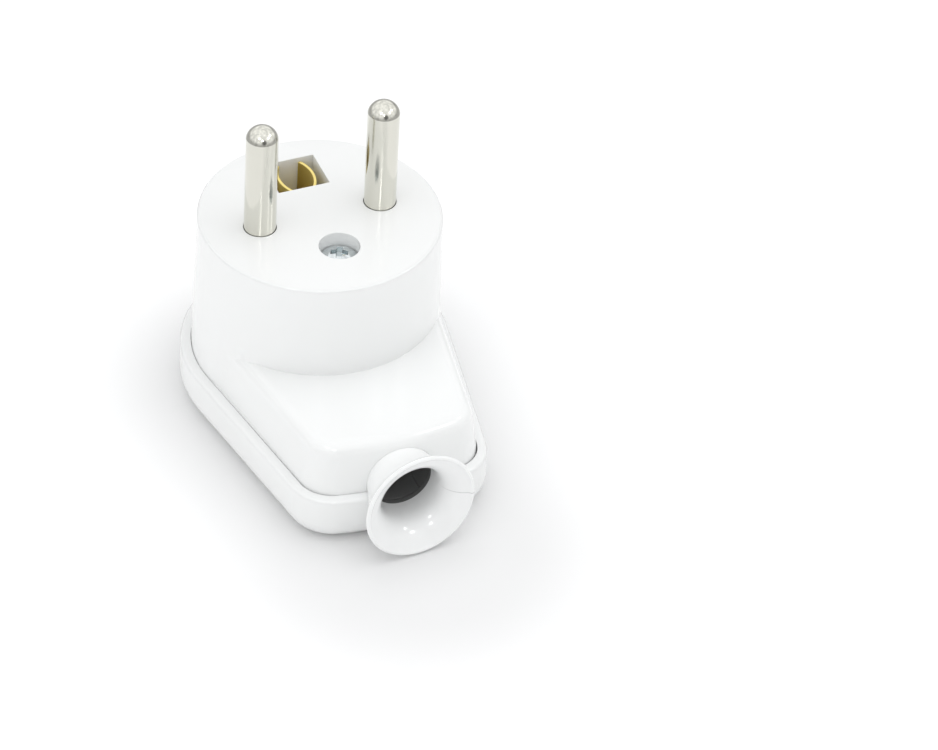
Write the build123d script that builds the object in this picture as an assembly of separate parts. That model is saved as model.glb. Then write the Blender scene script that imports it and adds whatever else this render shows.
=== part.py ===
from build123d import *
import math
import os

# Angled two-pin plug with an earth socket, a screwed rear cover and a flared cord bushing.
# Millimetres. The plug lies on its rear cover: z = 0 is the back and +Z is the way the pins point.
# The z axis is the axis of the round pin face, and the cord leaves towards -Y.

# Contact pins
PIN_SPACING = 19.0  # between the pin axes
PIN_DIAMETER = 4.8  # projecting part
PIN_REACH = 18.4  # from the face to the tip
PIN_DOME = 1.8  # height of the domed tip
PIN_SHANK_DIAMETER = 4.2  # inside the body
PIN_HEAD_DIAMETER = 8.0
PIN_HEAD_LENGTH = 9.0
PIN_HEAD_FLATS = 6.8  # across the two flats of the head
PIN_PLAY = 0.04  # all round the pin in its hole
PIN_TOWER_WALL = 2.0  # tube that carries the pin inside the body
WIRE_HOLE_DIAMETER = 3.0
WIRE_HOLE_DEPTH = 4.0  # from the shoulder of the head

# Front body
FACE_DIAMETER = 36.4
FACE_HEIGHT = 32.0  # from the back of the cover
FACE_THICKNESS = 2.5
FACE_EDGE = 0.4  # bevel of the rim of the face
HOLE_EDGE = 0.1  # bevel at the mouths of the holes
SKIRT_DIAMETER = 37.6  # round end of the body where it enters the cover
SKIRT_LAP = 2.0  # depth of the body in the cover
BODY_PROUD = 0.05  # foot of the round body beyond the skirt
BODY_WALL = 2.0
RIB_THICKNESS = 1.4
RIB_HEIGHT = 3.0  # ribs on the cover's floor

# Nose of the body, towards the cord
NOSE_HEIGHT = 16.3  # flat top, from the back of the cover
NOSE_ROOF = 2.0
NOSE_EDGE = 2.1  # rounding of the top edges
NOSE_TAPER = 7.5  # lean of the sides and the front, in degrees
NOSE_TUCK = 0.3  # round end of the nose inside the round body
NOSE_FRONT = 35.4  # from the face axis to the middle of the front
NOSE_FRONT_WALL = 3.2  # at the skirt
FRONT_BOW = 50.0  # plan radius of the front
CORNER_SPREAD = 8.4  # centre of each rounded front corner from the middle plane
CORNER_RADIUS = 5.5

# Rear cover
COVER_HEIGHT = 8.0
COVER_FLOOR = 2.2
COVER_BACK_EDGE = 3.4  # rounding around the back
LIP_WIDTH = 1.58
LIP_GAP = 0.08  # between lip and skirt
LIP_EDGE = 0.5
LIP_CORNER_EASE = 0.5  # the lip's inner corners are tighter than the skirt's
LEDGE_WIDTH = 1.2  # the skirt stands on this ledge

# Earth socket and its contact
EARTH_OFFSET = 10.1  # socket centre from the pin line
EARTH_WIDTH = 8.0
EARTH_LENGTH = 7.0
EARTH_DEPTH = 15.0  # from the face to the contact's base
EARTH_WALL = 1.2
LEAF_GAP = 4.9  # between the bowed leaves at their middle
LEAF_BOW = 5.5  # inner radius of the bow
LEAF_CHORD = 6.3
LEAF_THICKNESS = 0.45
LEAF_RECESS = 0.5  # top edge below the face
EARTH_BASE = 0.8  # thickness of base and terminal tab
EARTH_TAB_WIDTH = 7.0
EARTH_TAB_REACH = 12.6  # from the socket centre to the tab's end
EARTH_SCREW_INSET = 3.2  # terminal screw from the tab's end

# Cover screw and its brass insert
SCREW_OFFSET = 8.0  # screw axis from the pin line, towards the cord
SCREW_DIAMETER = 3.0
SCREW_HEAD_DIAMETER = 5.8
SCREW_HEAD_HEIGHT = 2.0
SCREW_DOME = 1.2  # domed part of the head
SCREW_SINK = 1.1  # head top below the face
SCREW_TURN = -24.5  # of the recess against the pin line, in degrees
SCREW_POCKET_DIAMETER = 6.1
SCREW_PLAY = 0.2
BOSS_WALL = 1.4  # plastic around the screw pocket
COVER_BOSS_HEIGHT = 11.5  # above the cover's floor
INSERT_DIAMETER = 5.0
INSERT_LENGTH = 8.0
THREAD_PLAY = 0.05  # between a screw and its thread, and around the insert

# Terminal screws
TERMINAL_DIAMETER = 3.0
TERMINAL_HEAD_DIAMETER = 5.5
TERMINAL_HEAD_HEIGHT = 1.8
TERMINAL_ROOM = 0.4  # around the head in the cover's sleeve
TERMINAL_LIFT = 0.8  # head clear of the pin's head, ready for the wire
TERMINAL_LENGTH = 4.6  # under the head
EARTH_WASHER = 0.8
RECESS_SHARE = 0.46  # arms of the cross recess against the head
RECESS_WIDTH = 1.0
RECESS_DEPTH = 1.1
RECESS_TAPER = 9.0  # lean of the recess walls, in degrees

# Cord bushing
CORD_HEIGHT = 9.0  # cord axis above the back
BORE_DIAMETER = 9.2
BORE_START = 34.4  # from the face axis to the inner end of the bore
BORE_LENGTH = 0.8
NECK_DIAMETER = 10.6
NECK_REACH = 34.4  # from the face axis to the start of the flare
MOUTH_REACH = 42.7  # from the face axis to the lip
MOUTH_DIAMETER = 17.2
MOUTH_LIP = 0.55  # thickness of the lip
MOUTH_ROUND = 0.4  # bevel inside the lip
FLARE_SAG = 0.5  # hollow of the flare's outside against a straight cone
BELL_SAG = 0.75  # the same for its inside
BUSHING_PLAY = 0.02
TAIL_WALL = 0.45  # half sleeve that sits in the body's front wall
HOOK_THICKNESS = 1.9
HOOK_REACH = 1.5  # beyond the neck, behind the wall
HOOK_HALF_HEIGHT = 3.5

# Cord clamp
CLAMP_SPREAD = 8.2  # screws from the middle plane
CLAMP_OFFSET = 26.2  # screw line from the face axis
CLAMP_THICKNESS = 2.8
CLAMP_CLEARANCE = 0.4  # above the cover's floor
CLAMP_DEPTH = 5.2
CLAMP_END = 2.8  # from screw axis to the end of the bar
CLAMP_EDGE = 0.5  # rounding of the upright edges
TONGUE_WIDTH = 9.2
TONGUE_GAP = 0.5  # between the tongue and the cover's front wall
TONGUE_PLAY = 0.1  # around the tongue's tip in the cord outlet
CLAMP_GROOVE = 7.0  # radius of the cord groove
CLAMP_GROOVE_DEPTH = 0.8
CLAMP_SCREW_DIAMETER = 2.5
CLAMP_HEAD_DIAMETER = 4.4
CLAMP_HEAD_HEIGHT = 1.5
CLAMP_HEAD_SINK = 0.1
CLAMP_SCREW_LENGTH = 7.4  # under the head
CLAMP_BOSS_WALL = 1.4
SADDLE_DROP = 1.1  # ridge under the nose roof
SADDLE_WIDTH = 9.0
SADDLE_THICKNESS = 2.0

# Places that follow from the sizes above
FACE_RADIUS = FACE_DIAMETER / 2
SKIRT_RADIUS = SKIRT_DIAMETER / 2
SKIRT_Z = COVER_HEIGHT - SKIRT_LAP
FACE_UNDER = FACE_HEIGHT - FACE_THICKNESS
NOSE_CEILING = NOSE_HEIGHT - NOSE_ROOF
PIN_X = PIN_SPACING / 2
PIN_HOLE_RADIUS = PIN_DIAMETER / 2 + PIN_PLAY
TERMINAL_HOLE_RADIUS = TERMINAL_DIAMETER / 2 + THREAD_PLAY
BOSS_TOP = COVER_FLOOR + COVER_BOSS_HEIGHT
BOSS_RADIUS = SCREW_POCKET_DIAMETER / 2 + BOSS_WALL
SCREW_SEAT = FACE_HEIGHT - SCREW_SINK - SCREW_HEAD_HEIGHT
POST_INNER_RADIUS = TERMINAL_HEAD_DIAMETER / 2 + TERMINAL_ROOM
PIN_FOOT = COVER_FLOOR + RIB_HEIGHT + TERMINAL_HEAD_HEIGHT * 2 + TERMINAL_LIFT
PIN_SEAT = PIN_FOOT + PIN_HEAD_LENGTH
EARTH_SEAT = FACE_HEIGHT - EARTH_DEPTH
EARTH_FOOT = EARTH_SEAT - EARTH_BASE
EARTH_SCREW_Y = EARTH_OFFSET - EARTH_TAB_REACH + EARTH_SCREW_INSET
NECK_RADIUS = NECK_DIAMETER / 2
NOSE_CAVITY_FRONT = NOSE_FRONT - NOSE_FRONT_WALL
HOOK_FRONT = NOSE_CAVITY_FRONT - BUSHING_PLAY
CLAMP_BOTTOM = COVER_FLOOR + CLAMP_CLEARANCE
CLAMP_TOP = CLAMP_BOTTOM + CLAMP_THICKNESS
COVER_CAVITY_FRONT = NOSE_FRONT - LEDGE_WIDTH
COVER_FRONT = NOSE_FRONT + LIP_GAP + LIP_WIDTH
CORD_AXIS = Axis((0, 0, CORD_HEIGHT), (0, 1, 0))
SIDES = (-1, 1)
UP = (Align.CENTER, Align.CENTER, Align.MIN)


def rod(radius, z0, z1, x=0.0, y=0.0):
    """Upright round bar between two heights."""
    return Pos(x, y, z0) * Cylinder(radius, z1 - z0, align=UP)


def bar(width, depth, z0, z1, x=0.0, y=0.0):
    """Upright square bar between two heights."""
    return Pos(x, y, z0) * Box(width, depth, z1 - z0, align=UP)


def cord_rod(radius, reach0, reach1):
    """Round bar on the cord axis between two distances from the face axis."""
    turned = Pos(0, -reach0, CORD_HEIGHT) * Rot(90, 0, 0)
    return turned * Cylinder(radius, reach1 - reach0, align=UP)


def cap_radius(radius, height):
    """Radius of the ball whose cap has this radius and height."""
    return (radius**2 + height**2) / (2 * height)


def plan(grow, z, tuck=0.0, ease=0.0):
    """Plan of the plug at one height, grown all round: round end, straight sides, bowed front.

    A tuck draws the round end in, an ease makes the front corners tighter.
    """
    end, bow = SKIRT_RADIUS + grow - tuck, FRONT_BOW + grow
    corner, spread = CORNER_RADIUS + grow - ease, CORNER_SPREAD + ease
    bow_middle = Vector(0, FRONT_BOW - NOSE_FRONT)
    corner_middle = bow_middle - Vector(-spread, math.sqrt((bow - corner) ** 2 - spread**2))
    lean = math.acos((end - corner) / corner_middle.length)
    lean = math.atan2(-corner_middle.Y, corner_middle.X) - lean
    out = Vector(math.cos(lean), -math.sin(lean))
    down = (corner_middle - bow_middle).normalized()
    turn = [corner_middle + way.normalized() * corner for way in (out, out + down, down)]
    opening = math.degrees(math.asin(spread / (bow - corner)))
    lean = math.degrees(lean)
    edges = CenterArc((0, 0), end, -lean, 180 + 2 * lean)
    edges += CenterArc(bow_middle, bow, 270 - opening, 2 * opening)
    for side in SIDES:
        start, knee, middle, stop = [Vector(side * p.X, p.Y) for p in (out * end, *turn)]
        edges += Line(start, knee)
        edges += ThreePointArc(knee, middle, stop)
    return Pos(0, 0, z) * make_face(edges)


def round_form():
    """Slightly tapered round body with a bevelled rim."""
    height = FACE_HEIGHT - SKIRT_Z
    form = Pos(0, 0, SKIRT_Z) * Cone(SKIRT_RADIUS + BODY_PROUD, FACE_RADIUS, height, align=UP)
    return chamfer(form.faces().sort_by(Axis.Z)[-1].edges(), FACE_EDGE)


def nose_form():
    """Outside of the nose above the cover, its sides leaning in, its top edges rounded."""
    foot = plan(0, COVER_HEIGHT, tuck=NOSE_TUCK)
    form = extrude(foot, NOSE_HEIGHT - COVER_HEIGHT, taper=NOSE_TAPER)
    return fillet(form.faces().sort_by(Axis.Z)[-1].edges(), NOSE_EDGE)


def nose_cavity():
    """Hollow of the nose, with an upright front for the bushing's hooks."""
    form = extrude(plan(-BODY_WALL, SKIRT_Z), NOSE_CEILING - SKIRT_Z, taper=NOSE_TAPER)
    beyond = NOSE_CAVITY_FRONT + NOSE_FRONT_WALL / 2
    return form - bar(SKIRT_DIAMETER, NOSE_FRONT_WALL, SKIRT_Z, NOSE_CEILING, y=-beyond)


def body_shell():
    """Outside of the body less its hollow."""
    skirt = extrude(plan(0, SKIRT_Z), SKIRT_LAP)
    outside = round_form() + skirt + nose_form()
    return outside - (rod(FACE_RADIUS - BODY_WALL, SKIRT_Z, FACE_UNDER) + nose_cavity())


def body_fittings():
    """Pin towers, earth shaft, screw boss, tab ribs, clamp bosses and the cord saddle."""
    tower = PIN_HOLE_RADIUS + PIN_TOWER_WALL
    fittings = rod(BOSS_RADIUS, BOSS_TOP, FACE_UNDER, y=-SCREW_OFFSET)
    shaft = (EARTH_WIDTH + 2 * EARTH_WALL, EARTH_LENGTH + 2 * EARTH_WALL)
    fittings += bar(*shaft, EARTH_SEAT, FACE_UNDER, y=EARTH_OFFSET)
    rib_start = EARTH_OFFSET - EARTH_LENGTH / 2 - EARTH_WALL / 2
    rib_end = EARTH_OFFSET - EARTH_TAB_REACH
    for side in SIDES:
        fittings += rod(tower, PIN_SEAT, FACE_UNDER, x=side * PIN_X)
        web = FACE_RADIUS - BODY_WALL / 2 - PIN_X
        fittings += bar(web, RIB_THICKNESS, PIN_SEAT, FACE_UNDER, x=side * (PIN_X + web / 2))
        fittings += bar(
            RIB_THICKNESS,
            rib_start - rib_end,
            EARTH_SEAT,
            FACE_UNDER,
            x=side * (EARTH_TAB_WIDTH - RIB_THICKNESS) / 2,
            y=(rib_start + rib_end) / 2,
        )
        boss = CLAMP_SCREW_DIAMETER / 2 + CLAMP_BOSS_WALL
        fittings += rod(boss, CLAMP_TOP, NOSE_CEILING, side * CLAMP_SPREAD, -CLAMP_OFFSET)
    drop = NOSE_CEILING - SADDLE_DROP
    return fittings + bar(SADDLE_WIDTH, SADDLE_THICKNESS, drop, NOSE_CEILING, y=-CLAMP_OFFSET)


def body_openings():
    """Pin holes, earth shaft, screw pocket and hole, clamp pilot holes and the cord hole."""
    cuts = rod(SCREW_POCKET_DIAMETER / 2, SCREW_SEAT, FACE_HEIGHT, y=-SCREW_OFFSET)
    cuts += rod(SCREW_DIAMETER / 2 + SCREW_PLAY, BOSS_TOP, SCREW_SEAT, y=-SCREW_OFFSET)
    cuts += bar(EARTH_WIDTH, EARTH_LENGTH, EARTH_SEAT, FACE_HEIGHT, y=EARTH_OFFSET)
    pilot = CLAMP_SCREW_DIAMETER / 2 + THREAD_PLAY
    pilot_end = NOSE_CEILING - NOSE_ROOF / 2
    for side in SIDES:
        cuts += rod(PIN_HOLE_RADIUS, PIN_SEAT, FACE_HEIGHT, x=side * PIN_X)
        cuts += rod(pilot, CLAMP_TOP, pilot_end, side * CLAMP_SPREAD, -CLAMP_OFFSET)
    return cuts + cord_outlet()


def front_body():
    """Round pin carrier and nose in one moulding."""
    body = body_shell() + body_fittings() - body_openings()
    face = body.faces().filter_by(Axis.Z).sort_by(Axis.Z)[-1]
    return chamfer(face.inner_wires().edges(), HOLE_EDGE)


def cover_tray():
    """Tray with a rounded back, a ledge for the skirt and a lip around it."""
    tray = extrude(plan(LIP_GAP + LIP_WIDTH, 0), COVER_HEIGHT)
    tray = fillet(tray.faces().sort_by(Axis.Z)[0].edges(), COVER_BACK_EDGE)
    tray = chamfer(tray.faces().sort_by(Axis.Z)[-1].edges(), LIP_EDGE)
    tray -= extrude(plan(LIP_GAP, SKIRT_Z, ease=LIP_CORNER_EASE), SKIRT_LAP)
    return tray - extrude(plan(-LEDGE_WIDTH, COVER_FLOOR), SKIRT_Z - COVER_FLOOR)


def cover_posts():
    """Screw boss, sleeves under the pin heads, the post under the earth contact and ribs."""
    posts = rod(BOSS_RADIUS, COVER_FLOOR, BOSS_TOP, y=-SCREW_OFFSET)
    post_width = LEAF_GAP
    posts += bar(post_width, post_width, COVER_FLOOR, EARTH_FOOT, y=EARTH_OFFSET)
    rib_top = COVER_FLOOR + RIB_HEIGHT
    posts += bar(PIN_SPACING, RIB_THICKNESS, COVER_FLOOR, rib_top)
    rib_length = EARTH_OFFSET + SCREW_OFFSET
    rib_middle = (EARTH_OFFSET - SCREW_OFFSET) / 2
    posts += bar(RIB_THICKNESS, rib_length, COVER_FLOOR, rib_top, y=rib_middle)
    for side in SIDES:
        posts += rod(PIN_HEAD_DIAMETER / 2, COVER_FLOOR, PIN_FOOT, x=side * PIN_X)
    for side in SIDES:
        posts -= rod(POST_INNER_RADIUS, COVER_FLOOR, PIN_FOOT, x=side * PIN_X)
    return posts - rod(
        INSERT_DIAMETER / 2 + THREAD_PLAY, BOSS_TOP - INSERT_LENGTH, BOSS_TOP, y=-SCREW_OFFSET
    )


def rear_cover():
    """Tray and posts in one moulding, notched for the bushing."""
    return cover_tray() - cord_outlet() + cover_posts()


def bushing_outside(play, start):
    """Outline of the bushing's outside from a start to the lip, as a solid grown by the play."""
    neck, lip = NECK_RADIUS + play, MOUTH_DIAMETER / 2 + play
    lip_y = MOUTH_LIP / 2 - MOUTH_REACH
    edges = SagittaArc((neck, -NECK_REACH), (lip, lip_y), -FLARE_SAG)
    edges += Polyline((lip, lip_y), (lip - MOUTH_LIP / 2, -MOUTH_REACH), (0, -MOUTH_REACH))
    edges += Polyline((0, -MOUTH_REACH), (0, -start), (neck, -start), (neck, -NECK_REACH))
    return revolve(Pos(0, 0, CORD_HEIGHT) * make_face(edges), CORD_AXIS)


def bushing_bell():
    """Hollow of the flare, from the bore to the bevelled lip."""
    bore, rim = BORE_DIAMETER / 2, MOUTH_DIAMETER / 2 - MOUTH_LIP
    throat = -BORE_START - BORE_LENGTH
    bell = (rim - MOUTH_ROUND, MOUTH_ROUND - MOUTH_REACH)
    edges = SagittaArc((bore, throat), bell, -BELL_SAG)
    edges += Polyline(bell, (rim, -MOUTH_REACH), (0, -MOUTH_REACH))
    edges += Polyline((0, -MOUTH_REACH), (0, throat), (bore, throat))
    return revolve(Pos(0, 0, CORD_HEIGHT) * make_face(edges), CORD_AXIS)


def cord_outlet():
    """Room for the bushing in the front walls of body and cover."""
    return bushing_outside(BUSHING_PLAY, NOSE_CAVITY_FRONT - BODY_WALL)


def cable_bushing():
    """Soft trumpet with a half sleeve in the body's front wall and two hooks behind it."""
    below, above = CORD_HEIGHT - HOOK_HALF_HEIGHT, CORD_HEIGHT + HOOK_HALF_HEIGHT
    hooks = cord_rod(NECK_RADIUS + HOOK_REACH, HOOK_FRONT - HOOK_THICKNESS, HOOK_FRONT)
    hooks &= bar(MOUTH_DIAMETER, MOUTH_REACH, below, above, y=-HOOK_FRONT)
    bushing = bushing_outside(0, HOOK_FRONT) + hooks
    bushing -= cord_rod(NECK_RADIUS - TAIL_WALL, HOOK_FRONT - HOOK_THICKNESS, BORE_START)
    bushing -= cord_rod(BORE_DIAMETER / 2, BORE_START, BORE_START + BORE_LENGTH) + bushing_bell()
    return bushing - bar(MOUTH_DIAMETER, 2 * BORE_START, 0, below)


def contact_pin(side):
    """Pin with a domed tip, a shank inside the body and a terminal head under the shoulder."""
    radius, shank = PIN_DIAMETER / 2, PIN_SHANK_DIAMETER / 2
    tip = FACE_HEIGHT + PIN_REACH
    dome = cap_radius(radius, PIN_DOME)
    pin = rod(shank, PIN_SEAT, FACE_HEIGHT) + rod(radius, FACE_HEIGHT, tip)
    pin &= rod(radius, PIN_SEAT, tip - dome) + Pos(0, 0, tip - dome) * Sphere(dome)
    head = rod(PIN_HEAD_DIAMETER / 2, PIN_FOOT, PIN_SEAT)
    head &= bar(PIN_HEAD_FLATS, PIN_HEAD_DIAMETER, PIN_FOOT, PIN_SEAT)
    wire_z = PIN_SEAT - WIRE_HOLE_DEPTH
    head -= Pos(0, 0, wire_z) * Rot(90, 0, 0) * Cylinder(WIRE_HOLE_DIAMETER / 2, PIN_HEAD_DIAMETER)
    head -= rod(TERMINAL_HOLE_RADIUS, PIN_FOOT, wire_z)
    return Pos(side * PIN_X, 0, 0) * (pin + head)


def earth_leaf_area(bow, side):
    """Disc whose edge is one bowed leaf's surface."""
    return Pos(side * (LEAF_GAP / 2 - LEAF_BOW), EARTH_OFFSET) * Circle(bow)


def earth_contact():
    """Two bowed leaves on a base with a terminal tab, one bent brass strip."""
    outer = LEAF_BOW + LEAF_THICKNESS
    window = Pos(0, EARTH_OFFSET) * Rectangle(EARTH_WIDTH, LEAF_CHORD)
    lens = earth_leaf_area(outer, 1) & earth_leaf_area(outer, -1) & window
    hollow = earth_leaf_area(LEAF_BOW, 1) & earth_leaf_area(LEAF_BOW, -1)
    leaves = lens - (hollow & window)
    height = EARTH_DEPTH - LEAF_RECESS
    contact = extrude(Pos(0, 0, EARTH_SEAT) * leaves, height)
    base_length = EARTH_TAB_REACH + LEAF_CHORD / 2
    base_y = EARTH_OFFSET + LEAF_CHORD / 2 - base_length / 2
    contact += bar(EARTH_TAB_WIDTH, base_length, EARTH_FOOT, EARTH_SEAT, y=base_y)
    return contact - rod(TERMINAL_HOLE_RADIUS, EARTH_FOOT, EARTH_SEAT, y=EARTH_SCREW_Y)


def screw(head_diameter, head_height, diameter, length, dome=0.0):
    """Cross-recess screw, head top at z = 0 and shank pointing down, bevelled or domed."""
    head = rod(head_diameter / 2, -head_height, 0)
    if dome:
        ball = cap_radius(head_diameter / 2, dome)
        head &= Pos(0, 0, -ball) * Sphere(ball)
    else:
        head = chamfer(head.edges().sort_by(Axis.Z)[-1], head_height / 3)
    arm = head_diameter * RECESS_SHARE
    cross = Rectangle(arm, RECESS_WIDTH) + Rectangle(RECESS_WIDTH, arm)
    head -= Rot(180, 0, 0) * extrude(cross, RECESS_DEPTH, taper=RECESS_TAPER)
    return head + rod(diameter / 2, -head_height - length, -head_height)


def turned_up(part, x, y, z):
    """Piece placed upside down, its head top at the given point."""
    return Pos(x, y, z) * Rot(180, 0, 0) * part


def terminal_screw(side):
    """Screw in the pin's head, backed out ready for the wire."""
    form = screw(
        TERMINAL_HEAD_DIAMETER, TERMINAL_HEAD_HEIGHT, TERMINAL_DIAMETER, TERMINAL_LENGTH
    )
    return turned_up(form, side * PIN_X, 0, PIN_FOOT - TERMINAL_LIFT - TERMINAL_HEAD_HEIGHT)


def earth_terminal_screw():
    """Screw that holds the earth wire and its washer on the tab."""
    form = screw(
        TERMINAL_HEAD_DIAMETER, TERMINAL_HEAD_HEIGHT, TERMINAL_DIAMETER, TERMINAL_LENGTH
    )
    return turned_up(form, 0, EARTH_SCREW_Y, EARTH_FOOT - EARTH_WASHER - TERMINAL_HEAD_HEIGHT)


def earth_clamp_washer():
    """Square washer under the earth screw."""
    side = 2 * EARTH_SCREW_INSET - PIN_PLAY
    washer = bar(side, side, EARTH_FOOT - EARTH_WASHER, EARTH_FOOT, y=EARTH_SCREW_Y)
    hole = TERMINAL_DIAMETER / 2 + SCREW_PLAY
    return washer - rod(hole, EARTH_FOOT - EARTH_WASHER, EARTH_FOOT, y=EARTH_SCREW_Y)


def cover_screw():
    """Long screw from the face into the insert."""
    length = SCREW_SEAT - BOSS_TOP + INSERT_LENGTH
    form = screw(SCREW_HEAD_DIAMETER, SCREW_HEAD_HEIGHT, SCREW_DIAMETER, length, SCREW_DOME)
    return Pos(0, -SCREW_OFFSET, FACE_HEIGHT - SCREW_SINK) * Rot(0, 0, SCREW_TURN) * form


def cover_insert():
    """Brass thread in the cover's boss."""
    foot = BOSS_TOP - INSERT_LENGTH
    sleeve = rod(INSERT_DIAMETER / 2, foot, BOSS_TOP, y=-SCREW_OFFSET)
    return sleeve - rod(SCREW_DIAMETER / 2 + THREAD_PLAY, foot, BOSS_TOP, y=-SCREW_OFFSET)


def cord_clamp():
    """Bar with a grooved tongue towards the bushing."""
    width = 2 * (CLAMP_SPREAD + CLAMP_END)
    clamp = bar(width, CLAMP_DEPTH, CLAMP_BOTTOM, CLAMP_TOP, y=-CLAMP_OFFSET)
    tip = COVER_CAVITY_FRONT - TONGUE_GAP
    tongue = tip - CLAMP_OFFSET
    clamp += bar(TONGUE_WIDTH, tongue, CLAMP_BOTTOM, CLAMP_TOP, y=-(tip + CLAMP_OFFSET) / 2)
    clamp = fillet(clamp.edges().filter_by(Axis.Z), CLAMP_EDGE)
    nib = cord_rod(NECK_RADIUS - TONGUE_PLAY, CLAMP_OFFSET, BORE_START - TONGUE_PLAY)
    clamp += nib & bar(TONGUE_WIDTH, 2 * BORE_START, CLAMP_BOTTOM, CLAMP_TOP)
    groove = Pos(0, -CLAMP_OFFSET, CLAMP_TOP - CLAMP_GROOVE_DEPTH + CLAMP_GROOVE) * Rot(90, 0, 0)
    clamp -= groove * Cylinder(CLAMP_GROOVE, BORE_START)
    sink = CLAMP_BOTTOM + CLAMP_HEAD_SINK + CLAMP_HEAD_HEIGHT
    for side in SIDES:
        at = (side * CLAMP_SPREAD, -CLAMP_OFFSET)
        clamp -= rod(CLAMP_HEAD_DIAMETER / 2 + SCREW_PLAY, CLAMP_BOTTOM, sink, *at)
        clamp -= rod(CLAMP_SCREW_DIAMETER / 2 + SCREW_PLAY, sink, CLAMP_TOP, *at)
    return clamp


def clamp_screw(side):
    """Self-cutting screw that draws the clamp against the body."""
    form = screw(
        CLAMP_HEAD_DIAMETER, CLAMP_HEAD_HEIGHT, CLAMP_SCREW_DIAMETER, CLAMP_SCREW_LENGTH
    )
    return turned_up(form, side * CLAMP_SPREAD, -CLAMP_OFFSET, CLAMP_BOTTOM + CLAMP_HEAD_SINK)


PIECES = {
    "front_body": front_body(),
    "rear_cover": rear_cover(),
    "cable_bushing": cable_bushing(),
    "left_pin": contact_pin(-1),
    "right_pin": contact_pin(1),
    "earth_contact": earth_contact(),
    "cover_screw": cover_screw(),
    "cover_insert": cover_insert(),
    "left_terminal_screw": terminal_screw(-1),
    "right_terminal_screw": terminal_screw(1),
    "earth_terminal_screw": earth_terminal_screw(),
    "earth_clamp_washer": earth_clamp_washer(),
    "cord_clamp": cord_clamp(),
    "left_clamp_screw": clamp_screw(-1),
    "right_clamp_screw": clamp_screw(1),
}

os.makedirs("parts", exist_ok=True)
for name, piece in PIECES.items():
    export_step(piece, f"parts/{name}.step")
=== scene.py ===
import math

import bmesh
import bpy
from bpy.props import FloatProperty, FloatVectorProperty, PointerProperty
from mathutils import Matrix, Vector


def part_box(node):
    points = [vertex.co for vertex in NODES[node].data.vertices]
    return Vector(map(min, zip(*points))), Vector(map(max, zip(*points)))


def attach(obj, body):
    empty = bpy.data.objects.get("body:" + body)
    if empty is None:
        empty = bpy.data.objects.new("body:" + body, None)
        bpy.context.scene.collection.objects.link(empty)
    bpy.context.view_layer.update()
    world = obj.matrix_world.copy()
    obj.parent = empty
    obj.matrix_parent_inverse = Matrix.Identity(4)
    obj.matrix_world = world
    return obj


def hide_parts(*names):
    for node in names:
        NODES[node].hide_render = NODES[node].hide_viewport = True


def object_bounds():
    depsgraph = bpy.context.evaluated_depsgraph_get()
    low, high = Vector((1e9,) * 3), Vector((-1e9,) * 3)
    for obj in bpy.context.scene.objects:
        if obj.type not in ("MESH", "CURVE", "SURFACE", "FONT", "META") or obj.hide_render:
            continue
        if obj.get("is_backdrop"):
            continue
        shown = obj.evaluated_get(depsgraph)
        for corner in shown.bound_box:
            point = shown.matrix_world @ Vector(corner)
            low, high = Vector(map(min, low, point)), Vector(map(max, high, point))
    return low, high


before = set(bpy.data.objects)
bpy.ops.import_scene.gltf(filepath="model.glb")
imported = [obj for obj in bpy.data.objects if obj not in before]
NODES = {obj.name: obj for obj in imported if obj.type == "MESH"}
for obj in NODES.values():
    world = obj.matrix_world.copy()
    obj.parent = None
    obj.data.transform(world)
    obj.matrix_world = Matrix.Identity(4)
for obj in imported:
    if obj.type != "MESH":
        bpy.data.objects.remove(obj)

bl_info = {
    "name": "Angled Plug",
    "version": (1, 0, 0),
    "blender": (4, 5, 0),
    "location": "3D View > Sidebar > Plug",
    "description": "Dresses the angled plug and sets it on a pale studio floor",
    "category": "Object",
}

CAD_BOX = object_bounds()
BODY = "root"
PHOTO_WIDTH = 938
MERGE_DISTANCE = 1e-6
FLOOR_HALF_SIZE = 3

# Angles in degrees above which an edge stays crisp
MOULDING_CRISP = 50
SMALL_PIECE_CRISP = 40
PIN_CRISP = 13.5

# Shares of the full colour, and heights in the surface
FLOW_SHADE = 0.985
# Darkest share of the metal's colour in its random blotches and streaks
METAL_BLOTCH_SHARE = 0.9
# Painted shade along the bushing's parting line: darkest share of its colour, and its strength
# towards the lip
PARTING_SHADE = 0.35
GROOVE_SHADE_STRENGTH = 0.7
PARTING_DEPTH = -3.0
GRAIN_SHARE = 0.25
SKIN_DEPTH = 0.00008
TOOL_MARK_DEPTH = 0.00002

# Ways from the aim to the small lamps
SPARK_WAYS = (
    (0.698, -0.214, 0.684),
    (0.479, -0.532, 0.699),
    (-0.262, -0.712, 0.652),
    (-0.501, -0.386, 0.775),
)
# Way to each soft light and its spread in degrees
SOFT_LIGHTS = {
    "above": ((0.12, 0.1, 0.98), 40),
    "front": ((-0.1, -0.6, 0.79), 55),
    "left": ((-0.85, -0.2, 0.45), 55),
    "right": ((0.85, -0.2, 0.45), 55),
}


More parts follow.
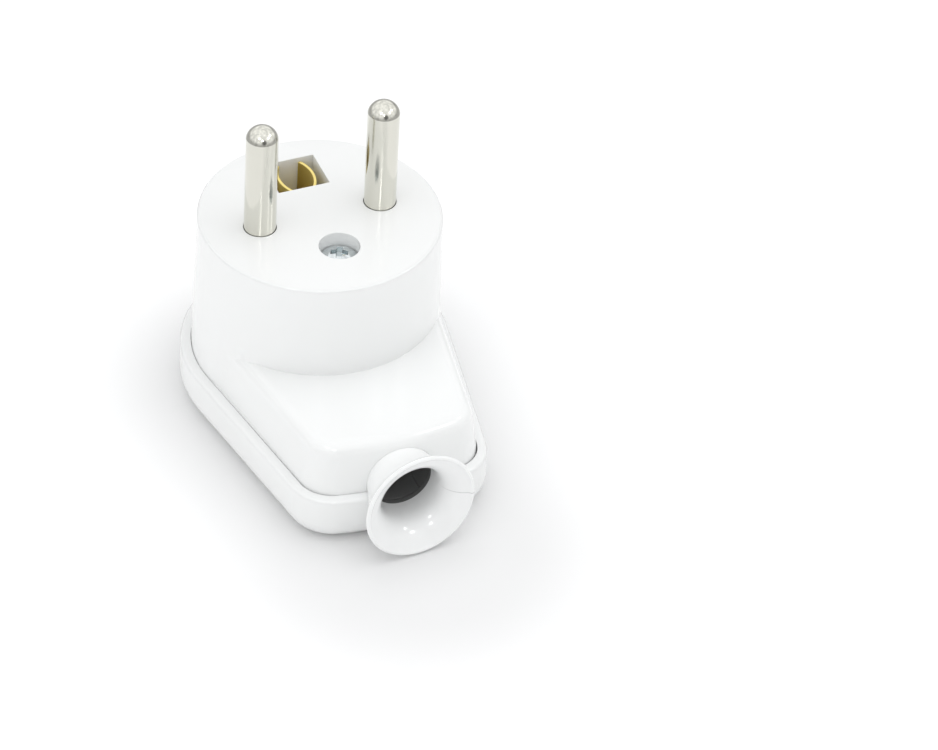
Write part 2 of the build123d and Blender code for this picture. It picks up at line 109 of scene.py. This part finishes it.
class PlugFinish(bpy.types.PropertyGroup):
    """Colours, gloss and edges of the plug's pieces."""

    housing_colour: FloatVectorProperty(
        name="Housing", description="Moulded body and cover", subtype="COLOR",
        size=3, min=0, max=1, default=(0.862, 0.87, 0.865))
    bushing_colour: FloatVectorProperty(
        name="Bushing", description="Soft cord bushing", subtype="COLOR",
        size=3, min=0, max=1, default=(0.89, 0.897, 0.894))
    nickel_colour: FloatVectorProperty(
        name="Nickel", description="Plating of the pins", subtype="COLOR",
        size=3, min=0, max=1, default=(0.745, 0.737, 0.668))
    brass_colour: FloatVectorProperty(
        name="Brass", description="Earth spring and insert", subtype="COLOR",
        size=3, min=0, max=1, default=(0.93, 0.77, 0.28))
    zinc_colour: FloatVectorProperty(
        name="Zinc", description="Plating of the screws", subtype="COLOR",
        size=3, min=0, max=1, default=(0.72, 0.76, 0.77))
    # Dark colour of the cord clamp, also painted in the bushing's bore as shade
    clamp_and_bore_shade_colour: FloatVectorProperty(
        name="Clamp", description="Dark cord clamp", subtype="COLOR",
        size=3, min=0, max=1, default=(0.15, 0.152, 0.15))
    housing_roughness: FloatProperty(
        name="Housing roughness", description="Gloss of the moulded plastic", subtype="FACTOR",
        min=0, max=1, default=0.18)
    bushing_roughness: FloatProperty(
        name="Bushing roughness", description="Sheen of the soft plastic", subtype="FACTOR",
        min=0, max=1, default=0.17)
    nickel_roughness: FloatProperty(
        name="Nickel roughness", description="Polish of the pins", subtype="FACTOR",
        min=0, max=1, default=0.14)
    brass_roughness: FloatProperty(
        name="Brass roughness", description="Sheen of the bare brass", subtype="FACTOR",
        min=0, max=1, default=0.38)
    zinc_roughness: FloatProperty(
        name="Zinc roughness", description="Polish of the screws", subtype="FACTOR",
        min=0, max=1, default=0.08)
    clamp_roughness: FloatProperty(
        name="Clamp roughness", description="Matt surface of the clamp", subtype="FACTOR",
        min=0, max=1, default=0.55)
    bushing_edge: FloatProperty(
        name="Bushing edge", description="Rounding of the bushing's edges", subtype="DISTANCE",
        default=0.0001)
    brass_edge: FloatProperty(
        name="Brass edge", description="Rounding of the spring's edges", subtype="DISTANCE",
        default=0.00008)
    screw_edge: FloatProperty(
        name="Screw edge", description="Rounding of the cover screw's edges", subtype="DISTANCE",
        default=0.00006)


class PlugMouth(bpy.types.PropertyGroup):
    """Shape and parting line of the bushing's soft mouth."""

    throat_reach: FloatProperty(
        name="Throat", description="Outer end of the bushing's bore, from the face axis",
        subtype="DISTANCE", default=0.0352)
    throat_radius: FloatProperty(
        name="Throat radius", description="Between the bore and the outside of the neck",
        subtype="DISTANCE", default=0.0051)
    bore_radius: FloatProperty(
        name="Bore radius", description="Radius of the bushing's bore", subtype="DISTANCE",
        default=0.0046)
    bell_reach: FloatProperty(
        name="Bell reach", description="Outer end of the bell's wall, from the face axis",
        subtype="DISTANCE", default=0.0423)
    bell_radius: FloatProperty(
        name="Bell radius", description="Radius at the outer end of the bell's wall",
        subtype="DISTANCE", default=0.0074)
    bell_sweep: FloatProperty(
        name="Bell sweep", description="How late the bell opens towards its lip; 1 is a plain cone",
        default=4.2)
    rise: FloatProperty(
        name="Mouth rise", description="Lean of the soft mouth towards the pins", subtype="ANGLE",
        default=math.radians(3.48))
    turn: FloatProperty(
        name="Mouth turn", description="Lean of the soft mouth to one side", subtype="ANGLE",
        default=math.radians(4.43))
    draw: FloatProperty(
        name="Mouth draw", description="How far the leaning mouth draws back", subtype="DISTANCE",
        default=0.00086)
    shift: FloatProperty(
        name="Mouth shift", description="How far the leaning mouth moves to one side",
        subtype="DISTANCE", default=0.00049)
    spread: FloatProperty(
        name="Mouth spread", description="Widening of the leaning mouth", subtype="FACTOR",
        min=0, max=1, default=0.022)
    parting_lean: FloatProperty(
        name="Parting lean", description="Turn of the bushing's parting line about the cord axis",
        subtype="ANGLE", default=math.radians(-2.0))
    parting_width: FloatProperty(
        name="Parting width", description="Half the width of the parting line",
        subtype="DISTANCE", default=0.00009)


class PlugStudio(bpy.types.PropertyGroup):
    """Camera, floor and light."""

    azimuth: FloatProperty(
        name="Azimuth", description="Camera's way round the plug", subtype="ANGLE",
        default=math.radians(-24.49))
    elevation: FloatProperty(
        name="Elevation", description="Camera above the floor", subtype="ANGLE",
        default=math.radians(40.32))
    roll: FloatProperty(
        name="Roll", description="Camera's turn about its own axis", subtype="ANGLE",
        default=math.radians(3.56))
    aim: FloatVectorProperty(
        name="Aim", description="Point in the middle of the picture", subtype="TRANSLATION",
        unit="LENGTH", size=3, default=(0.006949, -0.041385, 0.032))
    distance: FloatProperty(
        name="Distance", description="Camera to aim", subtype="DISTANCE", default=0.7136)
    focal_pixels: FloatProperty(
        name="Focal length", description="Focal length in pixels of the picture", default=5000)
    # Colour of the painted shadow on the floor round the plug
    painted_floor_shadow: FloatVectorProperty(
        name="Floor near", description="Pale floor beside the plug", subtype="COLOR",
        size=3, min=0, max=1, default=(0.82, 0.82, 0.82))
    floor_far: FloatVectorProperty(
        name="Floor far", description="Pale floor away from the plug", subtype="COLOR",
        size=3, min=0, max=1, default=(0.965, 0.965, 0.965))
    # Reach in front, inset and fade of the painted floor shadow
    painted_shadow_ahead: FloatProperty(
        name="Floor ahead", description="How far the near floor runs on in front of the plug",
        subtype="DISTANCE", default=0.018)
    painted_shadow_inset: FloatProperty(
        name="Floor inset", description="Where the floor begins to pale, in from the plug's side",
        subtype="DISTANCE", default=0.006)
    painted_shadow_fade: FloatProperty(
        name="Floor fade", description="Way from the plug to the full paleness of the floor",
        subtype="DISTANCE", default=0.022)
    floor_reach: FloatProperty(
        name="Floor reach", description="How far the pale floor shows in the metal",
        subtype="DISTANCE", default=0.09)
    sky_colour: FloatVectorProperty(
        name="Sky", description="Tint of the soft light", subtype="COLOR",
        size=3, min=0, max=1, default=(0.992, 0.995, 1.0))
    sky: FloatProperty(
        name="Even light", description="Brightness of the sky all round", default=0.625)
    above_light: FloatProperty(
        name="Light above", description="Added brightness of the soft light above", default=1.03)
    front_light: FloatProperty(
        name="Light in front", description="Added brightness of the soft light in front",
        default=0.2)
    left_light: FloatProperty(
        name="Light at the left", description="Added brightness of the soft light at the left",
        default=0.54)
    right_light: FloatProperty(
        name="Light at the right", description="Added brightness of the soft light at the right",
        default=0.42)
    mirror_low: FloatProperty(
        name="Mirrored horizon", description="Brightness of the room's edge in the metal",
        default=0.46)
    mirror_high: FloatProperty(
        name="Mirrored ceiling", description="Brightness of the ceiling in the metal", default=1.08)
    mirror_edge: FloatProperty(
        name="Mirrored edge", description="Height at which the ceiling begins in the metal",
        subtype="ANGLE", default=math.radians(23))
    mirror_patches: FloatProperty(
        name="Mirrored patches", description="Unevenness of the room in the metal",
        subtype="FACTOR", min=0, max=1, default=0.7)
    stand_way: FloatVectorProperty(
        name="Stand way", description="Where the dark camera stand shows", subtype="DIRECTION",
        size=3, default=(-0.065, -0.925, 0.375))
    stand_shade: FloatProperty(
        name="Stand shade", description="Loss of light at the camera stand", subtype="FACTOR",
        min=0, max=1, default=0.85)
    stand_spread: FloatProperty(
        name="Stand spread", description="Size of the camera stand seen from the plug",
        subtype="ANGLE", default=math.radians(22))
    spark_power: FloatProperty(
        name="Small lamps", description="Power of each small lamp", subtype="POWER", default=0.9)
    spark_size: FloatProperty(
        name="Small lamp size", description="Across each small lamp", subtype="DISTANCE",
        default=0.05)
    spark_distance: FloatProperty(
        name="Small lamp distance", description="From the aim to each small lamp",
        subtype="DISTANCE", default=1.0)


def new_node(tree, kind, inputs=None, **settings):
    """Node with its settings and inputs; an output socket given as an input is linked."""
    node = tree.nodes.new(kind)
    for name, value in settings.items():
        setattr(node, name, value)
    for key, value in (inputs or {}).items():
        if isinstance(value, bpy.types.NodeSocket):
            tree.links.new(value, node.inputs[key])
        else:
            node.inputs[key].default_value = value
    return node


def maths(tree, operation, *values):
    """Result of a math node on numbers and sockets."""
    inputs = dict(enumerate(values))
    return new_node(tree, "ShaderNodeMath", inputs, operation=operation).outputs[0]


def ramp(tree, value, low, high):
    """Smooth step of a value from 0 at low to 1 at high."""
    return new_node(
        tree, "ShaderNodeMapRange", {"Value": value, "From Min": low, "From Max": high},
        interpolation_type="SMOOTHSTEP").outputs["Result"]


def distance(tree, first, second):
    """Length of two parts at right angles."""
    square = maths(tree, "MULTIPLY_ADD", first, first, maths(tree, "MULTIPLY", second, second))
    return maths(tree, "SQRT", square)


def object_place(tree):
    """Object coordinates as a vector socket."""
    return new_node(tree, "ShaderNodeTexCoord").outputs["Object"]


def new_group(name, outputs, **inputs):
    """Empty node group with float inputs and outputs, its input node and its output node."""
    tree = bpy.data.node_groups.new(name, "ShaderNodeTree")
    for key, value in inputs.items():
        socket = tree.interface.new_socket(key, in_out="INPUT", socket_type="NodeSocketFloat")
        socket.default_value = value
    for key in outputs:
        tree.interface.new_socket(key, in_out="OUTPUT", socket_type="NodeSocketFloat")
    return tree, tree.nodes.new("NodeGroupInput"), tree.nodes.new("NodeGroupOutput")


def drifting(tree, given, noise):
    """Roughness of a group that drifts with a noise about its given value."""
    drift = given.outputs["Drift"]
    swing = maths(tree, "MULTIPLY_ADD", noise, drift, given.outputs["Roughness"])
    return maths(tree, "SUBTRACT", swing, maths(tree, "MULTIPLY", drift, 0.5))


def moulded_skin():
    """Group: faint flow clouds, gloss drift and fine surface height of a moulding."""
    name = "moulded_skin"
    if name in bpy.data.node_groups:
        return bpy.data.node_groups[name]
    tree, given, result = new_group(
        name, ("Cloud", "Roughness", "Height"), Roughness=0.25, Drift=0.08)
    place = object_place(tree)
    broad = new_node(
        tree, "ShaderNodeTexNoise", {"Vector": place, "Scale": 95, "Detail": 3, "Roughness": 0.55})
    fine = new_node(
        tree, "ShaderNodeTexNoise", {"Vector": place, "Scale": 1700, "Detail": 2, "Roughness": 0.5})
    cloud = broad.outputs["Fac"]
    height = maths(tree, "MULTIPLY_ADD", fine.outputs["Fac"], GRAIN_SHARE, cloud)
    tree.links.new(cloud, result.inputs["Cloud"])
    tree.links.new(drifting(tree, given, cloud), result.inputs["Roughness"])
    tree.links.new(height, result.inputs["Height"])
    return tree


def turned_metal():
    """Group: turning rings along Z, shallow dents and a wandering tone, for turned metal."""
    name = "turned_metal"
    if name in bpy.data.node_groups:
        return bpy.data.node_groups[name]
    tree, given, result = new_group(
        name, ("Tone", "Roughness", "Height"),
        Roughness=0.15, Drift=0.08, Pitch=9000.0, Dents=0.0)
    place = object_place(tree)
    squashed = new_node(tree, "ShaderNodeMapping", {"Vector": place, "Scale": (0.12, 0.12, 1.0)})
    rings = new_node(
        tree, "ShaderNodeTexNoise",
        {"Vector": squashed.outputs[0], "Scale": given.outputs["Pitch"], "Detail": 2})
    blotch = new_node(tree, "ShaderNodeTexNoise", {"Vector": place, "Scale": 420, "Detail": 4})
    drawn = new_node(tree, "ShaderNodeMapping", {"Vector": place, "Scale": (1.0, 1.0, 0.015)})
    streak = new_node(
        tree, "ShaderNodeTexNoise", {"Vector": drawn.outputs[0], "Scale": 2600, "Detail": 2})
    dull = blotch.outputs["Fac"]
    tone = maths(tree, "MULTIPLY", maths(tree, "ADD", dull, streak.outputs["Fac"]), 0.5)
    height = maths(tree, "MULTIPLY_ADD", dull, given.outputs["Dents"], rings.outputs["Fac"])
    tree.links.new(tone, result.inputs["Tone"])
    tree.links.new(drifting(tree, given, dull), result.inputs["Roughness"])
    tree.links.new(height, result.inputs["Height"])
    return tree


def new_material(name):
    """Material with its tree and its Principled shader."""
    material = bpy.data.materials.new(name)
    material.use_nodes = True
    return material, material.node_tree, material.node_tree.nodes["Principled BSDF"]


def colour_mix(tree, factor, first, second):
    """Mix of two colours or colour sockets by a factor."""
    mix = tree.nodes.new("ShaderNodeMix")
    mix.data_type = "RGBA"
    tree.links.new(factor, mix.inputs["Factor"])
    for socket, value in zip((s for s in mix.inputs if s.type == "RGBA"), (first, second)):
        if isinstance(value, bpy.types.NodeSocket):
            tree.links.new(value, socket)
        else:
            socket.default_value = (*value, 1)
    return next(s for s in mix.outputs if s.type == "RGBA")


def darker(colour, share):
    """Colour at a share of its brightness."""
    return [channel * share for channel in colour]


def bump(tree, shader, height, strength, depth):
    """Bump from a height to the shader's normal."""
    node = new_node(
        tree, "ShaderNodeBump", {"Height": height, "Strength": strength, "Distance": depth})
    tree.links.new(node.outputs["Normal"], shader.inputs["Normal"])


def plastic(name, colour, roughness):
    """Moulded plastic."""
    material, tree, shader = new_material(name)
    skin = new_node(
        tree, "ShaderNodeGroup", {"Roughness": roughness}, node_tree=moulded_skin())
    tone = colour_mix(tree, skin.outputs["Cloud"], darker(colour, FLOW_SHADE), colour)
    tree.links.new(tone, shader.inputs["Base Color"])
    tree.links.new(skin.outputs["Roughness"], shader.inputs["Roughness"])
    bump(tree, shader, skin.outputs["Height"], 0.06, SKIN_DEPTH)
    return material


def metal(name, colour, roughness, pitch, strength, dents=0.0):
    """Plated or bare metal with fine tool marks."""
    material, tree, shader = new_material(name)
    marks = new_node(
        tree, "ShaderNodeGroup", {"Roughness": roughness, "Pitch": pitch, "Dents": dents},
        node_tree=turned_metal())
    tone = colour_mix(tree, marks.outputs["Tone"], darker(colour, METAL_BLOTCH_SHARE), colour)
    tree.links.new(tone, shader.inputs["Base Color"])
    tree.links.new(marks.outputs["Roughness"], shader.inputs["Roughness"])
    shader.inputs["Metallic"].default_value = 1.0
    bump(tree, shader, marks.outputs["Height"], strength, TOOL_MARK_DEPTH)
    return material


def cord_axis():
    """Reach of the bushing's lip from the face axis, and height of the cord axis."""
    low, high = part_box("cable_bushing")
    return -low[1], high[2] - (high[0] - low[0]) / 2


def bushing_plastic(finish, mouth):
    """Soft white plastic with painted shade in the bore, and a parting line with painted shade in
    its groove on one side of the bell.
    """
    material, tree, shader = new_material("soft_white")
    skin = new_node(
        tree, "ShaderNodeGroup", {"Roughness": finish.bushing_roughness}, node_tree=moulded_skin())
    lip, axis_height = cord_axis()
    throat, neck, wide = mouth.throat_reach, mouth.throat_radius, mouth.parting_width
    split = new_node(tree, "ShaderNodeSeparateXYZ", {"Vector": object_place(tree)})
    across, along = split.outputs["X"], split.outputs["Y"]
    rise = maths(tree, "SUBTRACT", split.outputs["Z"], axis_height)

    lift = maths(tree, "MULTIPLY_ADD", across, -math.tan(mouth.parting_lean), rise)
    line = maths(tree, "SUBTRACT", 1.0, ramp(tree, maths(tree, "ABSOLUTE", lift), wide / 3, wide))
    line = maths(tree, "MULTIPLY", line, ramp(tree, across, 0.0, neck))
    toward_lip = ramp(tree, along, -throat, -lip)
    line = maths(tree, "MULTIPLY", line, toward_lip)
    # Painted shade in the parting line's groove, strongest towards the lip.
    painted_parting_shade = maths(tree, "MULTIPLY", line, maths(tree, "MULTIPLY", toward_lip, GROOVE_SHADE_STRENGTH))
    # Painted shade: the bore beyond the throat is painted in the clamp's dark colour.
    painted_bore_shade = maths(
        tree, "MULTIPLY", ramp(tree, along, -throat - wide, -throat),
        ramp(tree, distance(tree, across, rise), neck + wide, neck))

    colour = finish.bushing_colour
    tone = colour_mix(tree, skin.outputs["Cloud"], darker(colour, FLOW_SHADE), colour)
    tone = colour_mix(tree, painted_parting_shade, tone, darker(colour, PARTING_SHADE))
    tone = colour_mix(tree, painted_bore_shade, tone, finish.clamp_and_bore_shade_colour)
    tree.links.new(tone, shader.inputs["Base Color"])
    tree.links.new(skin.outputs["Roughness"], shader.inputs["Roughness"])
    height = maths(tree, "MULTIPLY_ADD", line, PARTING_DEPTH, skin.outputs["Height"])
    bump(tree, shader, height, 0.12, SKIN_DEPTH)
    return material


def smooth_copy(node, material, crisp_degrees, edge=0.0):
    """Merged copy of a CAD node with smooth faces, crisp only at edges above an angle."""
    mesh = NODES[node].data.copy()
    mesh.name = node + "_dressed"
    form = bmesh.new()
    form.from_mesh(mesh)
    bmesh.ops.remove_doubles(form, verts=form.verts, dist=MERGE_DISTANCE)
    for face in form.faces:
        face.smooth = True
    limit = math.radians(crisp_degrees)
    for line in form.edges:
        line.smooth = line.is_manifold and line.calc_face_angle(0.0) < limit
    form.to_mesh(mesh)
    form.free()
    piece = bpy.data.objects.new(node + "_dressed", mesh)
    bpy.context.scene.collection.objects.link(piece)
    mesh.materials.clear()
    mesh.materials.append(material)
    if edge:
        rounding = piece.modifiers.new("edge", "BEVEL")
        rounding.width = edge
        rounding.segments = 2
        rounding.limit_method = "ANGLE"
        rounding.angle_limit = limit
    weighted = piece.modifiers.new("face weight", "WEIGHTED_NORMAL")
    weighted.keep_sharp = True
    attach(piece, BODY)
    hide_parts(node)
    return piece


def soften_mouth(piece, mouth):
    """Sweeps the bell of the bushing's copy and leans its soft mouth, with its neck held."""
    lip, axis_height = cord_axis()
    start, rim, bore = mouth.throat_reach + MERGE_DISTANCE, mouth.bell_reach, mouth.bore_radius
    outward = [vertex.normal.copy() for vertex in piece.data.vertices]
    for vertex, normal in zip(piece.data.vertices, outward):
        reach, across, rise = -vertex.co.y, vertex.co.x, vertex.co.z - axis_height
        if reach <= start:
            continue
        size = 1.0
        in_bell = reach < rim and normal.x * across + normal.z * rise < 0
        if in_bell:
            opening = ((reach - start) / (rim - start)) ** mouth.bell_sweep
            radius = bore + (mouth.bell_radius - bore) * opening
            size = radius / math.hypot(across, rise)
        share = (reach - start) / (lip - start)
        size *= 1 + mouth.spread * share
        across, rise = across * size, rise * size
        back = across * math.sin(mouth.turn * share)
        back += rise * math.sin(mouth.rise * share) + mouth.draw * share
        vertex.co = (across + mouth.shift * share ** 2, back - reach, axis_height + rise)


def paint(node, material):
    """Gives a CAD node a material."""
    NODES[node].data.materials.clear()
    NODES[node].data.materials.append(material)


class PLUG_OT_housing(bpy.types.Operator):
    """Dresses the front body and the rear cover in glossy white plastic"""

    bl_idname = "plug.housing"
    bl_label = "Housing"

    def execute(self, context):
        finish = context.scene.plug_finish
        white = plastic("white_housing", finish.housing_colour, finish.housing_roughness)
        smooth_copy("front_body", white, MOULDING_CRISP)
        smooth_copy("rear_cover", white, MOULDING_CRISP)
        return {"FINISHED"}


class PLUG_OT_bushing(bpy.types.Operator):
    """Dresses the cord bushing in soft white plastic and leans its mouth"""

    bl_idname = "plug.bushing"
    bl_label = "Cord bushing"

    def execute(self, context):
        finish, mouth = context.scene.plug_finish, context.scene.plug_mouth
        soft = bushing_plastic(finish, mouth)
        piece = smooth_copy(
            "cable_bushing", soft, SMALL_PIECE_CRISP, finish.bushing_edge)
        soften_mouth(piece, mouth)
        return {"FINISHED"}


class PLUG_OT_pins(bpy.types.Operator):
    """Dresses the two contact pins in polished nickel"""

    bl_idname = "plug.pins"
    bl_label = "Contact pins"

    def execute(self, context):
        finish = context.scene.plug_finish
        nickel = metal(
            "nickel", finish.nickel_colour, finish.nickel_roughness,
            pitch=9000, strength=0.1, dents=8)
        for node in ("left_pin", "right_pin"):
            smooth_copy(node, nickel, PIN_CRISP)
        return {"FINISHED"}


class PLUG_OT_earth(bpy.types.Operator):
    """Dresses the earth spring and the insert in bare brass"""

    bl_idname = "plug.earth"
    bl_label = "Earth contact"

    def execute(self, context):
        finish = context.scene.plug_finish
        brass = metal(
            "brass", finish.brass_colour, finish.brass_roughness, pitch=4000, strength=0.1)
        smooth_copy("earth_contact", brass, SMALL_PIECE_CRISP, finish.brass_edge)
        paint("cover_insert", brass)
        return {"FINISHED"}


class PLUG_OT_screws(bpy.types.Operator):
    """Dresses the cover screw, the inner screws and the washer in bright zinc"""

    bl_idname = "plug.screws"
    bl_label = "Screws"

    def execute(self, context):
        finish = context.scene.plug_finish
        zinc = metal("zinc", finish.zinc_colour, finish.zinc_roughness, pitch=3000, strength=0.08)
        smooth_copy("cover_screw", zinc, SMALL_PIECE_CRISP, finish.screw_edge)
        for node in ("left_terminal_screw", "right_terminal_screw", "earth_terminal_screw",
                     "earth_clamp_washer", "left_clamp_screw", "right_clamp_screw"):
            paint(node, zinc)
        return {"FINISHED"}


class PLUG_OT_clamp(bpy.types.Operator):
    """Dresses the cord clamp in dark matt plastic"""

    bl_idname = "plug.clamp"
    bl_label = "Cord clamp"

    def execute(self, context):
        finish = context.scene.plug_finish
        # The clamp's dark colour also gives the deep shade seen down the bore.
        paint("cord_clamp", plastic("dark_clamp", finish.clamp_and_bore_shade_colour, finish.clamp_roughness))
        return {"FINISHED"}


def floor_material(studio):
    """Pale floor with a painted shadow round the plug, that ends some way off in the metal's
    mirror.
    """
    material, tree, shader = new_material("floor")
    split = new_node(tree, "ShaderNodeSeparateXYZ", {"Vector": object_place(tree)})
    low, high = CAD_BOX
    half_width = (high[0] - low[0]) / 2
    foremost = low[1] + half_width - studio.painted_shadow_ahead
    nearest = new_node(
        tree, "ShaderNodeClamp", {"Value": split.outputs["Y"], "Min": foremost, "Max": 0.0})
    beyond = maths(tree, "SUBTRACT", split.outputs["Y"], nearest.outputs[0])
    away = distance(tree, split.outputs["X"], beyond)
    # Painted shadow: dark colour beside the plug, fading to the pale far floor.
    start = half_width - studio.painted_shadow_inset
    fade = ramp(tree, away, start, start + studio.painted_shadow_fade)
    tone = colour_mix(tree, fade, studio.painted_floor_shadow, studio.floor_far)
    path = new_node(tree, "ShaderNodeLightPath")
    outside = ramp(tree, away, studio.floor_reach, 2 * studio.floor_reach)
    mirrored = maths(tree, "MULTIPLY", path.outputs["Is Glossy Ray"], outside)
    tone = colour_mix(tree, mirrored, tone, [studio.mirror_low] * 3)
    tree.links.new(tone, shader.inputs["Base Color"])
    shader.inputs["Roughness"].default_value = 0.9
    shader.inputs["Specular IOR Level"].default_value = 0.0
    return material


def studio_floor(studio):
    """Wide pale floor under the plug."""
    mesh = bpy.data.meshes.new("floor")
    form = bmesh.new()
    bmesh.ops.create_grid(form, x_segments=1, y_segments=1, size=FLOOR_HALF_SIZE)
    form.to_mesh(mesh)
    form.free()
    floor = bpy.data.objects.new("floor", mesh)
    bpy.context.scene.collection.objects.link(floor)
    mesh.materials.append(floor_material(studio))
    floor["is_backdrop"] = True


def patch(tree, way, toward, spread):
    """Round soft patch of the sky: 1 in its middle third and 0 beyond its spread."""
    facing = new_node(
        tree, "ShaderNodeVectorMath", {0: way, 1: Vector(toward).normalized()},
        operation="DOT_PRODUCT").outputs["Value"]
    return ramp(tree, facing, math.cos(spread), math.cos(spread / 3))


def soft_light(tree, studio, way):
    """Brightness of the even sky with its soft lights."""
    lit = studio.sky
    for name, (toward, degrees) in SOFT_LIGHTS.items():
        spot = patch(tree, way, toward, math.radians(degrees))
        lit = maths(tree, "MULTIPLY_ADD", spot, getattr(studio, name + "_light"), lit)
    return lit


def mirrored_room(tree, studio, way):
    """Brightness of the room that gloss mirrors: dark low edge, uneven ceiling, dark stand."""
    height = new_node(tree, "ShaderNodeSeparateXYZ", {"Vector": way}).outputs["Z"]
    ceiling = ramp(tree, height, 0.0, math.sin(studio.mirror_edge))
    room = maths(
        tree, "MULTIPLY_ADD", ceiling, studio.mirror_high - studio.mirror_low, studio.mirror_low)
    clouds = new_node(tree, "ShaderNodeTexNoise", {"Vector": way, "Scale": 3.5, "Detail": 2})
    uneven = maths(
        tree, "MULTIPLY_ADD", clouds.outputs["Fac"], 2 * studio.mirror_patches,
        1 - studio.mirror_patches)
    stand = patch(tree, way, studio.stand_way, studio.stand_spread)
    shade = maths(tree, "MULTIPLY_ADD", stand, -studio.stand_shade, 1.0)
    return maths(tree, "MULTIPLY", maths(tree, "MULTIPLY", room, uneven), shade)


def studio_sky(studio):
    """Pale sky with soft lights round the plug; gloss mirrors a room instead."""
    world = bpy.data.worlds.new("sky")
    bpy.context.scene.world = world
    world.use_nodes = True
    tree = world.node_tree
    way = new_node(tree, "ShaderNodeTexCoord").outputs["Generated"]
    lit = soft_light(tree, studio, way)
    change = maths(tree, "SUBTRACT", mirrored_room(tree, studio, way), lit)
    path = new_node(tree, "ShaderNodeLightPath")
    strength = maths(tree, "MULTIPLY_ADD", path.outputs["Is Glossy Ray"], change, lit)
    tree.links.new(strength, tree.nodes["Background"].inputs["Strength"])
    tree.nodes["Background"].inputs["Color"].default_value = (*studio.sky_colour, 1)


def studio_sparks(studio):
    """Small round lamps that leave bright points on the gloss."""
    for way in SPARK_WAYS:
        light = bpy.data.lights.new("spark", "AREA")
        light.shape = "DISK"
        light.size = studio.spark_size
        light.energy = studio.spark_power
        lamp = bpy.data.objects.new("spark", light)
        bpy.context.scene.collection.objects.link(lamp)
        lamp.visible_diffuse = False
        lamp.location = Vector(studio.aim) + studio.spark_distance * Vector(way)
        lamp.rotation_euler = Vector(way).to_track_quat("Z", "Y").to_euler()


def camera_way(studio):
    """Right, up and back directions of the camera."""
    az, el, roll = studio.azimuth, studio.elevation, studio.roll
    back = Vector((math.sin(az) * math.cos(el), -math.cos(az) * math.cos(el), math.sin(el)))
    level = Vector((math.cos(az), math.sin(az), 0))
    right = math.cos(roll) * level + math.sin(roll) * back.cross(level)
    return right, back.cross(right), back


def studio_camera(studio):
    """Camera at the photographed angle."""
    lens = bpy.data.cameras.new("camera")
    lens.lens = lens.sensor_width * studio.focal_pixels / PHOTO_WIDTH
    camera = bpy.data.objects.new("camera", lens)
    bpy.context.scene.collection.objects.link(camera)
    right, up, back = camera_way(studio)
    place = Matrix((right, up, back)).transposed().to_4x4()
    place.translation = Vector(studio.aim) + studio.distance * back
    camera.matrix_world = place
    bpy.context.scene.camera = camera


class PLUG_OT_studio(bpy.types.Operator):
    """Sets up floor, sky, lamps and camera"""

    bl_idname = "plug.studio"
    bl_label = "Studio"

    def execute(self, context):
        studio = context.scene.plug_studio
        studio_floor(studio)
        studio_sky(studio)
        studio_sparks(studio)
        studio_camera(studio)
        context.scene.view_settings.view_transform = "Standard"
        return {"FINISHED"}


OPERATORS = (
    PLUG_OT_housing, PLUG_OT_bushing, PLUG_OT_pins, PLUG_OT_earth, PLUG_OT_screws, PLUG_OT_clamp,
    PLUG_OT_studio,
)


class PLUG_PT_panel(bpy.types.Panel):
    """Lists the plug's pieces, its studio and their settings"""

    bl_idname = "PLUG_PT_panel"
    bl_label = "Angled Plug"
    bl_space_type = "VIEW_3D"
    bl_region_type = "UI"
    bl_category = "Plug"

    def draw(self, context):
        for operator in OPERATORS:
            self.layout.operator(operator.bl_idname)
        scene = context.scene
        for group in (scene.plug_finish, scene.plug_mouth, scene.plug_studio):
            for name in group.__annotations__:
                self.layout.prop(group, name)


CLASSES = (PlugFinish, PlugMouth, PlugStudio, *OPERATORS, PLUG_PT_panel)


def register():
    for item in CLASSES:
        bpy.utils.register_class(item)
    bpy.types.Scene.plug_finish = PointerProperty(type=PlugFinish)
    bpy.types.Scene.plug_mouth = PointerProperty(type=PlugMouth)
    bpy.types.Scene.plug_studio = PointerProperty(type=PlugStudio)


def unregister():
    del bpy.types.Scene.plug_studio
    del bpy.types.Scene.plug_mouth
    del bpy.types.Scene.plug_finish
    for item in reversed(CLASSES):
        bpy.utils.unregister_class(item)


def main():
    register()
    bpy.ops.plug.housing()
    bpy.ops.plug.bushing()
    bpy.ops.plug.pins()
    bpy.ops.plug.earth()
    bpy.ops.plug.screws()
    bpy.ops.plug.clamp()
    bpy.ops.plug.studio()
    boxes = {"cad": CAD_BOX, "visual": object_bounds()}
    boxes = {name: [list(corner) for corner in box] for name, box in boxes.items()}


if __name__ == "__main__":
    main()
